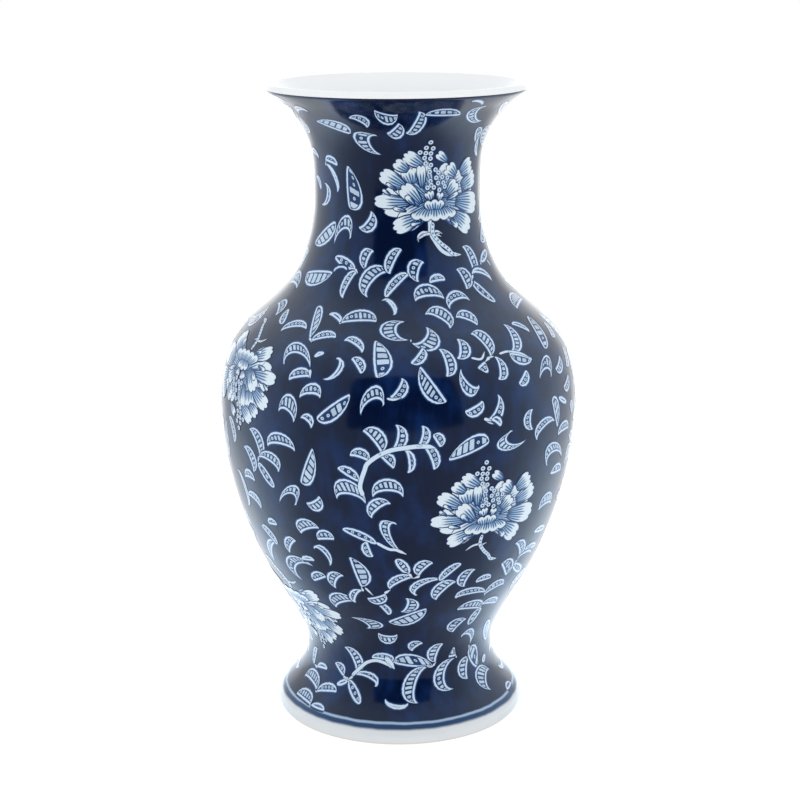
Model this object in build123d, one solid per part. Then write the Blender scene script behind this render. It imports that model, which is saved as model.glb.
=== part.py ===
"""Baluster vase in glazed porcelain: splayed foot, tapering body, round shoulder and trumpet neck.

Millimetres, +Z up, the origin at the middle of the foot ring's standing face. The body is thrown in
four sections and a floor disc, which are luted together with films of slip and fired as one, then
glazed: cobalt blue outside, clear over the white body inside, round the lip and under the base.
Every wall is worked out from one outer meridian, the skin, and its offsets.
"""

import math
import os

from build123d import *

# Driving dimensions
WALL = 5.2  # porcelain and both glazes together
GLAZE = 0.4  # fired thickness of each glaze coat
SLIP_FILM = 0.6  # thickness of the luting slip in a joint
BEVEL = 20.0  # degrees a joint is raked from square to the wall, so that the sections centre themselves

# The skin's stations as (radius, height, lean), from the foot edge up to the lip. The lean is in
# degrees from the vertical and is positive where the wall opens outwards on its way up.
FOOT_EDGE = (70.4, 3.5, 0.0)
BAND_TOP = (67.05, 10.2, -40.0)  # where the lined foot band ends and the cobalt begins
FLANK = (61.75, 16.0, -42.0)
WAIST = (52.7, 37.5, 0.0)
LOWER_BODY = [(62.2, 64.0, 28.7), (71.6, 80.0, 30.3), (86.3, 112.0, 20.0), (99.1, 172.0, 3.6)]
BELLY = (99.4, 181.0, 0.0)
SHOULDER = [(95.0, 208.0, -20.0), (84.9, 224.0, -43.9), (67.2, 240.0, -47.7)]
NECK_ROOT = [(56.8, 252.0, -31.5), (48.4, 272.0, -15.5)]
THROAT = (45.1, 298.5, 0.0)
TRUMPET = [(47.7, 324.0, 17.0), (58.55, 342.0, 43.0)]
LIP_CENTRE = (68.3, 353.4)
LIP_LEAN = 52.0  # the wall's lean where it runs into the lip's roll

# Foot ring and floor
RING_OUTER = 68.8  # the standing face's outer and inner radii
RING_INNER = 61.5
RECESS_RADIUS = 59.4  # the recess under the floor, at its top
RECESS_DEPTH = 8.0
FLOOR_TOP = 15.0
EDGE_GLAZE_FOOT = 1.4  # the foot edge is wiped clean of glaze below this height

# Joints between the sections, by height on the skin
JOINTS = {"foot_slip": 37.5, "belly_slip": 172.0, "neck_slip": 252.0}

LIP_ROLL = WALL / 2
TINY = 1e-6


def point(radius, height):
    """A point of the half plane that is turned about Z."""
    return Vector(radius, 0, height)


def heading(lean):
    """The direction in which a wall of this lean rises."""
    return Vector(math.sin(math.radians(lean)), 0, math.cos(math.radians(lean)))


def outward(direction):
    """The unit normal on the outside of a meridian that rises in this direction."""
    return Vector(direction.Z, 0, -direction.X)


def arc_joint(start, along, end, finish):
    """Where two arcs that leave one point and reach another in given directions meet, and how they run there."""
    step = end - start
    spread = 2 * (1 - along.dot(finish))
    lean_in = step.dot(along + finish)
    reach = (math.sqrt(lean_in**2 + spread * step.dot(step)) - lean_in) / spread
    first, second = start + along * reach, end - finish * reach
    return (first + second) / 2, (second - first).normalized()


def skin():
    """The outer meridian as (point, direction) knots: the stations, and an arc joint between each two."""
    lip_start = point(*LIP_CENTRE) + outward(heading(LIP_LEAN)) * LIP_ROLL
    rows = [FOOT_EDGE, BAND_TOP, FLANK, WAIST, *LOWER_BODY, BELLY, *SHOULDER, *NECK_ROOT, THROAT, *TRUMPET]
    stations = [(point(radius, height), heading(lean)) for radius, height, lean in rows]
    stations.append((lip_start, heading(LIP_LEAN)))
    knots = stations[:1]
    for (start, along), (end, finish) in zip(stations, stations[1:]):
        knots += [arc_joint(start, along, end, finish), (end, finish)]
    return knots


def meridian(knots, depth):
    """The tangent arcs, in order from the foot up, that lie this depth inside the skin."""
    inset = [(at - outward(along) * depth, along) for at, along in knots]
    return [TangentArc(start, end, tangent=along) for (start, along), (end, _) in zip(inset, inset[1:])]


def at_height(arc, height):
    """Where along a rising arc it reaches a height, found by halving."""
    low, high = 0.0, 1.0
    for _ in range(50):
        middle = (low + high) / 2
        if arc.position_at(middle).Z < height:
            low = middle
        else:
            high = middle
    return (low + high) / 2


def stretch(arcs, bottom=-math.inf, top=math.inf):
    """The part of a meridian between two heights."""
    kept = []
    for arc in arcs:
        low, high = arc.position_at(0).Z, arc.position_at(1).Z
        if high - bottom < TINY or top - low < TINY:
            continue
        start = at_height(arc, bottom) if low < bottom - TINY else 0.0
        end = at_height(arc, top) if high > top + TINY else 1.0
        kept.append(arc.trim(start, end))
    return kept


def foot_of(arcs):
    """The lowest point of a meridian."""
    return arcs[0].position_at(0)


def top_of(arcs):
    """The highest point of a meridian."""
    return arcs[-1].position_at(1)


def lip_arc(outer, inner):
    """The lip's roll between the tops of two meridians, through its crown."""
    start, end = top_of(outer), top_of(inner)
    crown = point(*LIP_CENTRE) + heading(LIP_LEAN) * (start - point(*LIP_CENTRE)).length
    return ThreePointArc(start, crown, end)


def turned(edges):
    """The solid that a closed outline sweeps about Z."""
    return revolve(make_face(edges), Axis.Z, 360)


def chain(*points):
    """Straight edges through these points."""
    return list(Polyline(*points).edges())


def rectangle(left, right, bottom, top):
    """The outline of an upright rectangle."""
    return chain(
        point(left, bottom),
        point(right, bottom),
        point(right, top),
        point(left, top),
        point(left, bottom),
    )


def joint_film(knots, height):
    """The film's cross-section at a joint: a thin strip raked across the whole wall."""
    at, along = min(knots, key=lambda knot: abs(knot[0].Z - height))
    across = outward(along).rotate(Axis.Y, BEVEL)
    thick = Vector(-across.Z, 0, across.X) * (SLIP_FILM / 2)
    start, end = at + across * WALL, at - across * (2 * WALL)
    return make_face(Polyline(start - thick, start + thick, end + thick, end - thick, close=True))


def body_profile(body_out, body_in):
    """The porcelain's cross-section without its floor: foot ring, walls and lip."""
    inside = stretch(body_in, bottom=FLOOR_TOP)
    foot_edge = foot_of(body_out)
    ring = chain(
        foot_of(inside),
        point(foot_of(inside).X, RECESS_DEPTH),
        point(RECESS_RADIUS, RECESS_DEPTH),
        point(RING_INNER, 0),
        point(RING_OUTER, 0),
        point(foot_edge.X, EDGE_GLAZE_FOOT),
        foot_edge,
    )
    return make_face([*ring, *body_out, lip_arc(body_out, body_in), *inside])


def floor_parts(radius):
    """The floor disc, and the slip film that holds it in the foot section."""
    inner = radius - SLIP_FILM
    return {
        "floor_disc": turned(rectangle(0, inner, RECESS_DEPTH, FLOOR_TOP)),
        "floor_slip": turned(rectangle(inner, radius, RECESS_DEPTH, FLOOR_TOP)),
    }


def glaze_parts(outer, body_out, body_in, bore):
    """The four glaze coats, each a thin shell over the porcelain."""
    band_top = BAND_TOP[1]
    cobalt_out, band_out = stretch(outer, bottom=band_top), stretch(outer, top=band_top)
    cobalt_in, band_in = body_out[len(band_out) :], body_out[: len(band_out)]
    foot_out, foot_in = foot_of(outer), foot_of(body_out)
    edge = [foot_in, point(foot_in.X, EDGE_GLAZE_FOOT), point(foot_out.X, EDGE_GLAZE_FOOT), foot_out]
    band_end = chain(top_of(band_out), top_of(band_in))
    lip_end = chain(top_of(outer), top_of(body_out))
    wall = stretch(body_in, bottom=FLOOR_TOP)
    face = stretch(bore, bottom=FLOOR_TOP + GLAZE)
    floor = chain(foot_of(wall), point(0, FLOOR_TOP), point(0, FLOOR_TOP + GLAZE), foot_of(face))
    lip = [lip_arc(body_out, body_in), lip_arc(outer, bore)]
    return {
        "cobalt_glaze": turned([*band_end, *cobalt_out, *lip_end, *cobalt_in]),
        "foot_band_glaze": turned([*chain(*edge), *band_out, *band_end, *band_in]),
        "inner_glaze": turned([*lip_end, *lip, *wall, *floor, *face]),
        "base_glaze": turned(base_outline()),
    }


def base_outline():
    """The coat in the recess, down its flared side to where the foot is wiped clean."""
    slope = (RING_INNER - RECESS_RADIUS) / RECESS_DEPTH
    wiped = RING_INNER - slope * EDGE_GLAZE_FOOT
    return chain(
        point(0, RECESS_DEPTH),
        point(RECESS_RADIUS, RECESS_DEPTH),
        point(wiped, EDGE_GLAZE_FOOT),
        point(wiped - GLAZE, EDGE_GLAZE_FOOT),
        point(RECESS_RADIUS - GLAZE, RECESS_DEPTH - GLAZE),
        point(0, RECESS_DEPTH - GLAZE),
        point(0, RECESS_DEPTH),
    )


def body_parts(knots, body_out, body_in):
    """The four thrown sections, and the slip films that the joints between them hold."""
    profile = body_profile(body_out, body_in)
    films = {name: joint_film(knots, height) for name, height in JOINTS.items()}
    parts = {name: revolve(profile & film, Axis.Z, 360) for name, film in films.items()}
    for film in films.values():
        profile = profile - film
    faces = sorted(profile.faces(), key=lambda f: f.center().Z)
    names = ["foot_section", "lower_body", "upper_body", "neck_section"]
    for name, face in zip(names, faces, strict=True):
        parts[name] = revolve(face, Axis.Z, 360)
    return parts


def vase():
    """Every node of the vase by its name."""
    knots = skin()
    outer, body_out, body_in, bore = (meridian(knots, d) for d in (0, GLAZE, WALL - GLAZE, WALL))
    floor_radius = foot_of(stretch(body_in, bottom=FLOOR_TOP)).X
    return {
        **body_parts(knots, body_out, body_in),
        **floor_parts(floor_radius),
        **glaze_parts(outer, body_out, body_in, bore),
    }


os.makedirs("parts", exist_ok=True)
for node, shape in vase().items():
    export_step(shape, f"parts/{node}.step")
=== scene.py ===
"""Blue-and-white baluster vase: glazes, reserved leaves and peonies over the porcelain.

Metres, +Z up, in the CAD's frame. Places on the wall are (angle, height): degrees round the axis
from the front, positive to the right, and millimetres above the table. The painting is films that
stand 0.03 to 0.27 mm proud of the cobalt ground.
"""

import bisect
import math
import random

import bmesh
import bpy
from mathutils import Matrix, Vector
from mathutils.kdtree import KDTree


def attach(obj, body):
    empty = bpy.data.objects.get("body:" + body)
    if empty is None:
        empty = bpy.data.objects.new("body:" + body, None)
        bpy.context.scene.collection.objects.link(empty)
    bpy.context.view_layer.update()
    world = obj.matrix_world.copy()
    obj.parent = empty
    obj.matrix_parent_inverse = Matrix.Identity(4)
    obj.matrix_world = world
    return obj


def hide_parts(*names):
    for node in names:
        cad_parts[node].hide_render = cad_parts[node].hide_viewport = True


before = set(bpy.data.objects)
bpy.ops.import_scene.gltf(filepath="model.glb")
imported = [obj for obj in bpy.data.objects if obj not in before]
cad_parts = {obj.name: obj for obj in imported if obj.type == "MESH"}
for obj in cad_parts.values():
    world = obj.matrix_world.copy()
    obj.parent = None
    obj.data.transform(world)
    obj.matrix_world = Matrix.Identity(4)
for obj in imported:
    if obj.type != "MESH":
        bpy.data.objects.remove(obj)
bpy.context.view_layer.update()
MM = 0.001

# ---------------------------------------------------------------- the wall

# The skin's stations as (radius, height, lean), in mm and degrees, as in the CAD
STATIONS = [
    (70.4, 3.5, 0.0),
    (67.05, 10.2, -40.0),
    (61.75, 16.0, -42.0),
    (52.7, 37.5, 0.0),
    (62.2, 64.0, 28.7),
    (71.6, 80.0, 30.3),
    (86.3, 112.0, 20.0),
    (99.1, 172.0, 3.6),
    (99.4, 181.0, 0.0),
    (95.0, 208.0, -20.0),
    (84.9, 224.0, -43.9),
    (67.2, 240.0, -47.7),
    (56.8, 252.0, -31.5),
    (48.4, 272.0, -15.5),
    (45.1, 298.5, 0.0),
    (47.7, 324.0, 17.0),
    (58.55, 342.0, 43.0),
]
LIP_CENTRE = (68.3, 353.4)  # the middle of the lip's roll
LIP_LEAN = 52.0  # the wall's lean where it runs into the roll
WALL = 5.2  # porcelain and both glazes together
BAND_EDGE = (70.0, 1.4)  # where the glazed foot band begins, as (radius, height)
BAND_RADIUS = 67.05
BAND_TOP = 10.2  # where the band ends and the cobalt begins
COBALT_CLIMB = 40  # degrees round the lip's roll that the cobalt reaches
FLOOR = 15.4  # the top of the glazed floor inside
SPLIT_LOW = 128.0  # heights at which the cobalt is divided into three pieces
SPLIT_HIGH = 244.0
SEGMENTS = 300
GROUND_CELL = 1.4  # spacing of the rows up the cobalt, in mm
BAND_CELL = 0.8  # up the foot band
BORE_CELL = 2.0  # down the inside
FINE_CELL = 0.4  # spacing of the rows that places on the wall are read from
ROLL_STEP = 10  # degrees between rows over the lip's roll


def heading(lean):
    """The direction of a wall of this lean, in the half plane of (radius, height)."""
    return Vector((math.sin(math.radians(lean)), math.cos(math.radians(lean))))


def outward(lean):
    """The normal on the wall's outside."""
    return Vector((math.cos(math.radians(lean)), -math.sin(math.radians(lean))))


def arc_joint(start, along, end, finish):
    """Where two arcs that join two points in given directions meet."""
    step = end - start
    spread = 2 * (1 - along.dot(finish))
    both = step.dot(along + finish)
    reach = (math.sqrt(both**2 + spread * step.dot(step)) - both) / spread
    return (start + along * reach + end - finish * reach) / 2


def arc(start, lean, end, cell):
    """Rows (radius, height, lean) along the arc that leaves start at this lean, without its end."""
    chord = end - start
    half = math.degrees(math.atan2(chord.x, chord.y)) - lean
    turn = math.radians(half)
    length = chord.length * (turn / math.sin(turn) if abs(turn) > 1e-9 else 1)
    count = max(2, round(length / cell))
    rows = []
    for i in range(count):
        part = i / count
        reach = chord.length * (math.sin(turn * part) / math.sin(turn) if abs(turn) > 1e-9 else part)
        at = start + heading(lean + half * part) * reach
        rows.append((at.x, at.y, lean + 2 * half * part))
    return rows, lean + 2 * half


def skin(cell):
    """Rows (radius, height, lean) of the outer meridian from the foot edge to the lip's roll."""
    lip_start = Vector(LIP_CENTRE) + outward(LIP_LEAN) * (WALL / 2)
    stations = [*STATIONS, (lip_start.x, lip_start.y, LIP_LEAN)]
    rows = []
    for (r0, z0, lean0), (r1, z1, lean1) in zip(stations, stations[1:]):
        start, end = Vector((r0, z0)), Vector((r1, z1))
        middle = arc_joint(start, heading(lean0), end, heading(lean1))
        first, lean = arc(start, lean0, middle, cell)
        second, _ = arc(middle, lean, end, cell)
        rows += first + second
    return [*rows, stations[-1]]


FINE = skin(FINE_CELL)
HEIGHTS = [row[1] for row in FINE]
RUNS = [0.0]
for _low, _high in zip(FINE, FINE[1:]):
    RUNS.append(RUNS[-1] + math.hypot(_high[0] - _low[0], _high[1] - _low[1]))


def between(table, value):
    """The row below a value in a rising table, and how far on it lies towards the next."""
    i = min(max(bisect.bisect_right(table, value) - 1, 0), len(table) - 2)
    return i, (value - table[i]) / (table[i + 1] - table[i])


def run_of(height):
    """The distance up the wall from the foot edge to a height."""
    i, part = between(HEIGHTS, height)
    return RUNS[i] + (RUNS[i + 1] - RUNS[i]) * part


def wall_at(run):
    """(radius, height, lean) at a distance up the wall."""
    i, part = between(RUNS, run)
    return [a + (b - a) * part for a, b in zip(FINE[i], FINE[i + 1])]


class Spot:
    """A place on the wall, with a flat sheet of millimetres laid on the wall round it."""

    def __init__(self, angle, height):
        self.angle = angle
        self.run = run_of(height)
        self.radius = wall_at(self.run)[0]

    def sheet(self, angle, height):
        """Where another place lies on this spot's sheet."""
        return Vector((math.radians(angle - self.angle) * self.radius, run_of(height) - self.run))

    def point(self, x, y, lift):
        """The point in space at x to the right and y up on the sheet, this far off the wall."""
        radius, height, lean = wall_at(self.run + y)
        proud = Vector((radius, height)) + outward(lean) * lift
        turn = math.radians(self.angle) + x / self.radius
        return Vector((proud.x * math.sin(turn), -proud.x * math.cos(turn), proud.y)) * MM


# ---------------------------------------------------------------- making pieces


def piece(bm, name, materials, replaces=()):
    """A smooth shaded piece from a bmesh, riding on the vase."""
    mesh = bpy.data.meshes.new(name)
    bm.to_mesh(mesh)
    bm.free()
    for material in materials:
        mesh.materials.append(material)
    mesh.shade_smooth()
    obj = bpy.data.objects.new(name, mesh)
    bpy.context.scene.collection.objects.link(obj)
    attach(obj, "root")
    if replaces:
        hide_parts(*replaces)
    return obj


def turned(profile):
    """A bmesh of a profile of (radius, height) spun about the axis, with its faces outwards."""
    bm = bmesh.new()
    verts = [bm.verts.new((0, -radius * MM, height * MM)) for radius, height in profile]
    edges = [bm.edges.new(pair) for pair in zip(verts, verts[1:])]
    bmesh.ops.spin(
        bm,
        geom=verts + edges,
        cent=(0, 0, 0),
        axis=(0, 0, 1),
        angle=2 * math.pi,
        steps=SEGMENTS,
        use_merge=True,
    )
    bmesh.ops.remove_doubles(bm, verts=bm.verts, dist=1e-6)
    bmesh.ops.recalc_face_normals(bm, faces=bm.faces)
    bm.faces.ensure_lookup_table()
    bm.normal_update()
    face = bm.faces[0]
    out = face.calc_center_median().copy()
    out.z = 0
    if face.normal.dot(out) < 0:
        bmesh.ops.reverse_faces(bm, faces=bm.faces)
    return bm


# ---------------------------------------------------------------- shading


class Shader:
    """A material's nodes, with short calls for the sums that a drawn pattern needs."""

    def __init__(self, name):
        self.material = bpy.data.materials.new(name)
        self.material.use_nodes = True
        self.tree = self.material.node_tree
        self.surface = self.tree.nodes["Principled BSDF"]

    def add(self, kind, **settings):
        """A new node with its settings."""
        made = self.tree.nodes.new(kind)
        for key, value in settings.items():
            setattr(made, key, value)
        return made

    def feed(self, socket, value):
        """Sets a socket to a number, or links it to another node's output."""
        if isinstance(value, bpy.types.NodeSocket):
            self.tree.links.new(value, socket)
        else:
            socket.default_value = value

    def sum(self, operation, *values, clamp=False):
        """The output of a Math node on these values."""
        made = self.add("ShaderNodeMath", operation=operation, use_clamp=clamp)
        for socket, value in zip(made.inputs, values):
            self.feed(socket, value)
        return made.outputs[0]

    def ramp(self, value, low, high):
        """A smooth rise from 0 at low to 1 at high, or a fall from 1 to 0 where low is the higher."""
        made = self.add("ShaderNodeMapRange", interpolation_type="SMOOTHSTEP")
        flip = low > high
        for key, setting in (("Value", value), ("From Min", min(low, high)), ("From Max", max(low, high))):
            self.feed(made.inputs[key], setting)
        made.inputs["To Min"].default_value = 1.0 if flip else 0.0
        made.inputs["To Max"].default_value = 0.0 if flip else 1.0
        return made.outputs[0]

    def blend(self, factor, below, above):
        """One colour over another by a factor."""
        made = self.add("ShaderNodeMix", data_type="RGBA")
        self.feed(made.inputs["Factor"], factor)
        for socket, value in zip((made.inputs[6], made.inputs[7]), (below, above)):
            self.feed(socket, value)
        return made.outputs[2]

    def place(self):
        """Object coordinates."""
        return self.add("ShaderNodeTexCoord").outputs["Object"]

    def noise(self, scale, detail=2.0, rough=0.5, stretch=(1, 1, 1), vector=None):
        """A noise between 0 and 1 on the object's coordinates."""
        mapping = self.add("ShaderNodeMapping")
        self.feed(mapping.inputs["Vector"], vector or self.place())
        mapping.inputs["Scale"].default_value = stretch
        made = self.add("ShaderNodeTexNoise")
        self.feed(made.inputs["Vector"], mapping.outputs[0])
        made.inputs["Scale"].default_value = scale
        made.inputs["Detail"].default_value = detail
        made.inputs["Roughness"].default_value = rough
        return made.outputs["Fac"]

    def attribute(self, name):
        """A number stored on the mesh."""
        return self.add("ShaderNodeAttribute", attribute_name=name).outputs["Fac"]

    def bump(self, height, strength, distance):
        """Feeds a bump to the surface."""
        made = self.add("ShaderNodeBump")
        self.feed(made.inputs["Height"], height)
        made.inputs["Strength"].default_value = strength
        made.inputs["Distance"].default_value = distance
        self.feed(self.surface.inputs["Normal"], made.outputs[0])

    def finish(self, colour, roughness, gloss):
        """Sets the surface's colour, roughness and strength of reflection."""
        self.feed(self.surface.inputs["Base Color"], colour)
        self.feed(self.surface.inputs["Roughness"], roughness)
        self.surface.inputs["Specular IOR Level"].default_value = gloss
        return self.material


COBALT_DEEP = (0.0008, 0.0058, 0.0320, 1)
COBALT_LIGHT = (0.0034, 0.0225, 0.1050, 1)
GLOSS = 0.5
ROUGH = 0.13
RIPPLE_SCALE, RIPPLE = 48, 0.26  # the glaze's unevenness


def cobalt(shader):
    """The ground's colour: laid with a broad brush, so it clouds and streaks a little."""
    cloud = shader.noise(38, 3, 0.55)
    streak = shader.noise(160, 2, 0.5, (1, 1, 0.3))
    mixed = shader.sum("MULTIPLY_ADD", streak, 0.35, shader.sum("MULTIPLY", cloud, 0.65))
    return shader.blend(shader.ramp(mixed, 0.43, 0.72), COBALT_DEEP, COBALT_LIGHT)


def glaze_ripple(shader):
    """The faint unevenness of a thick glaze."""
    shader.bump(shader.noise(RIPPLE_SCALE, 2, 0.45), RIPPLE, MM)


def cobalt_ground():
    """The plain cobalt of the belly and the neck."""
    shader = Shader("cobalt_ground")
    glaze_ripple(shader)
    return shader.finish(cobalt(shader), ROUGH, GLOSS)


LINE_WHITE = (0.63, 0.78, 0.95, 1)
HALO_BLUE = (0.026, 0.105, 0.330, 1)
BAR_PALE = (0.52, 0.69, 0.86, 1)
BAR_BLUE = (0.06, 0.17, 0.42, 1)
LINE_WIDTH = 1.15  # of a leaf's outline, in mm
MARGIN = 1.2  # how far a leaf's film reaches past its drawn line
LUCK = (12.9898, 78.233, 43.758)  # large uneven factors that scatter a sine into chance


def leaf_paint():
    """A white outline with a soft blue halo, a dark line inside it, then white bars and dots."""
    shader = Shader("leaf_paint")
    wobble = shader.sum("MULTIPLY", shader.sum("SUBTRACT", shader.noise(600, 2, 0.6), 0.5), 0.50)
    across = shader.attribute("across")
    width = shader.attribute("width")
    chance = shader.attribute("chance")
    pitch = shader.attribute("pitch")
    v = shader.sum("SUBTRACT", across, shader.sum("MULTIPLY", width, 0.5))
    along = shader.sum("MULTIPLY_ADD", v, 0.22, shader.attribute("along"))
    cells = shader.sum("ADD", shader.sum("DIVIDE", along, pitch), chance)
    beat = shader.sum("ABSOLUTE", shader.sum("SINE", shader.sum("MULTIPLY", cells, math.pi)))
    scallop = shader.sum("MULTIPLY", shader.sum("SUBTRACT", 1.0, beat), 0.16)
    outer = shader.sum("SUBTRACT", shader.sum("SUBTRACT", width, across), scallop)
    rim = shader.sum("ADD", shader.sum("MINIMUM", across, outer), wobble)
    line = LINE_WIDTH
    outline = shader.sum(
        "MULTIPLY",
        shader.ramp(rim, MARGIN - 0.25, MARGIN + 0.20),
        shader.ramp(rim, MARGIN + line + 0.12, MARGIN + line - 0.22),
    )
    halo = shader.sum("MULTIPLY_ADD", shader.ramp(rim, MARGIN + line + 0.9, MARGIN + line), 0.46, 0.28)
    halo = shader.sum("MULTIPLY", halo, shader.ramp(rim, 0.0, MARGIN + 0.1))
    cell = shader.sum("FLOOR", cells)
    by_cell, by_leaf, spread = LUCK
    spin = shader.sum("ADD", shader.sum("MULTIPLY", cell, by_cell), shader.sum("MULTIPLY", chance, by_leaf))
    luck = shader.sum("FRACT", shader.sum("MULTIPLY", shader.sum("SINE", spin), spread))
    u = shader.sum("MULTIPLY", shader.sum("SUBTRACT", shader.sum("FRACT", cells), 0.5), pitch)
    room = shader.sum("SUBTRACT", shader.sum("MULTIPLY", width, 0.5), MARGIN + line + 0.40)
    long = shader.sum("MULTIPLY", room, shader.sum("MULTIPLY_ADD", luck, 0.28, 0.72))
    past = shader.sum("SUBTRACT", shader.sum("ABSOLUTE", v), shader.sum("SUBTRACT", long, 0.5))
    over = shader.sum("MAXIMUM", past, 0.0)
    half = shader.sum("MULTIPLY_ADD", pitch, 0.5, -0.98)
    wide = shader.sum("MAXIMUM", shader.sum("SUBTRACT", shader.sum("ABSOLUTE", u), half), 0.0)
    squares = shader.sum("ADD", shader.sum("MULTIPLY", over, over), shader.sum("MULTIPLY", wide, wide))
    bar = shader.ramp(shader.sum("ADD", shader.sum("SQRT", squares), wobble), 0.62, 0.36)
    centre = shader.sum("SQRT", shader.sum("ADD", shader.sum("MULTIPLY", u, u), shader.sum("MULTIPLY", v, v)))
    ring = shader.ramp(shader.sum("ABSOLUTE", shader.sum("SUBTRACT", centre, 0.62)), 0.38, 0.18)
    small = shader.sum("LESS_THAN", room, 1.15)
    is_ring = shader.sum("MAXIMUM", small, shader.sum("GREATER_THAN", luck, 0.88))
    is_ring = shader.sum("MULTIPLY", is_ring, shader.sum("GREATER_THAN", room, 0.45))
    plain = shader.sum("MULTIPLY", bar, shader.sum("SUBTRACT", 1.0, is_ring))
    marks = shader.sum("ADD", plain, shader.sum("MULTIPLY", ring, is_ring))
    marks = shader.sum("MULTIPLY", marks, shader.ramp(rim, MARGIN + line + 0.15, MARGIN + line + 0.42))
    marks = shader.sum("MULTIPLY", marks, shader.sum("MULTIPLY_ADD", luck, 0.25, 0.75))
    colour = shader.blend(halo, cobalt(shader), HALO_BLUE)
    pale = shader.blend(shader.noise(400, 1, 0.5), BAR_PALE, LINE_WHITE)
    colour = shader.blend(marks, colour, pale)
    colour = shader.blend(outline, colour, LINE_WHITE)
    glaze_ripple(shader)
    return shader.finish(colour, ROUGH, GLOSS)


PETAL_WHITE = (0.72, 0.84, 0.93, 1)
PETAL_PALE = (0.36, 0.56, 0.76, 1)
HATCH_BLUE = (0.016, 0.070, 0.235, 1)
SHADOW_BLUE = (0.007, 0.036, 0.140, 1)
HATCH = 1.7  # spacing of the hatching, in mm
DOT_PITCH = 2.3  # spacing of the dots along a peony's stem, in mm


def petal_paint():
    """White lobes that fall to pale blue, with dark hatching that runs from the base."""
    shader = Shader("petal_paint")
    wobble = shader.sum("MULTIPLY", shader.sum("SUBTRACT", shader.noise(700, 2, 0.6), 0.5), 0.35)
    rim = shader.sum("ADD", shader.attribute("rim"), wobble)
    along = shader.sum("MULTIPLY_ADD", wobble, 0.3, shader.attribute("along"))
    phase = shader.sum("DIVIDE", shader.attribute("across"), HATCH)
    phase = shader.sum("ADD", phase, shader.attribute("chance"))
    body = shader.ramp(rim, 0.36, 0.80)
    tip = shader.ramp(along, 0.30, 0.72)
    line = shader.sum("ABSOLUTE", shader.sum("SUBTRACT", shader.sum("FRACT", phase), 0.5))
    thick = shader.sum("MULTIPLY_ADD", along, -0.34, 0.40)
    hatch = shader.ramp(shader.sum("SUBTRACT", line, thick), 0.09, -0.05)
    hatch = shader.sum("MULTIPLY", hatch, shader.ramp(along, 0.74, 0.54))
    wash = shader.blend(tip, PETAL_PALE, PETAL_WHITE)
    colour = shader.blend(shader.sum("MULTIPLY", hatch, 0.9), wash, HATCH_BLUE)
    colour = shader.blend(shader.sum("MULTIPLY", body, shader.ramp(along, -0.05, 0.30)), SHADOW_BLUE, colour)
    edge = shader.ramp(rim, -0.2, 0.2)
    colour = shader.blend(edge, cobalt(shader), colour)
    glaze_ripple(shader)
    return shader.finish(colour, ROUGH, GLOSS)


def stem_paint(name, dotted):
    """White line work, on the peonies' stems with a little blue dotted along its middle."""
    shader = Shader(name)
    wobble = shader.sum("MULTIPLY", shader.sum("SUBTRACT", shader.noise(900, 2, 0.6), 0.5), 0.25)
    rim = shader.sum("ADD", shader.attribute("rim"), wobble)
    colour = shader.blend(shader.ramp(rim, 0.10, 0.45), cobalt(shader), LINE_WHITE)
    if dotted:
        beat = shader.sum("FRACT", shader.sum("DIVIDE", shader.attribute("along"), DOT_PITCH))
        beat = shader.sum("ABSOLUTE", shader.sum("SUBTRACT", beat, 0.5))
        dots = shader.sum("MULTIPLY", shader.ramp(beat, 0.24, 0.14), shader.ramp(rim, 0.62, 0.85))
        colour = shader.blend(dots, colour, BAR_BLUE)
    glaze_ripple(shader)
    return shader.finish(colour, ROUGH, GLOSS)


def seed_paint():
    """The peony's stamens: small pale rings with a dark eye."""
    shader = Shader("seed_paint")
    rim = shader.attribute("rim")
    ring = shader.ramp(rim, 0.12, 0.40)
    eye = shader.ramp(rim, 0.82, 1.08)
    colour = shader.blend(ring, cobalt(shader), LINE_WHITE)
    colour = shader.blend(eye, colour, BAR_BLUE)
    glaze_ripple(shader)
    return shader.finish(colour, ROUGH, GLOSS)


def white_glaze(name):
    """Clear glaze over white porcelain, a little blue where it lies thick."""
    shader = Shader(name)
    cloud = shader.noise(20, 3, 0.5)
    rings = shader.noise(14, 2, 0.5, (0.2, 0.2, 12))
    mixed = shader.sum("ADD", shader.sum("MULTIPLY", cloud, 0.5), shader.sum("MULTIPLY", rings, 0.5))
    colour = shader.blend(shader.ramp(mixed, 0.3, 0.7), (0.895, 0.925, 0.945, 1), (0.935, 0.955, 0.965, 1))
    shader.bump(rings, 0.12, 0.001)
    return shader.finish(colour, 0.20, 0.05)


# The foot's painting, as heights in metres: where the blue line comes in and goes out, where the cobalt
# begins, and where the pale line over the blue one is stained
BLUE_IN, BLUE_OUT = (0.0076, 0.0092), (0.0112, 0.0104)
COBALT_IN = (0.0114, 0.0122)
STAIN_IN = (0.0082, 0.0108)


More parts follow.
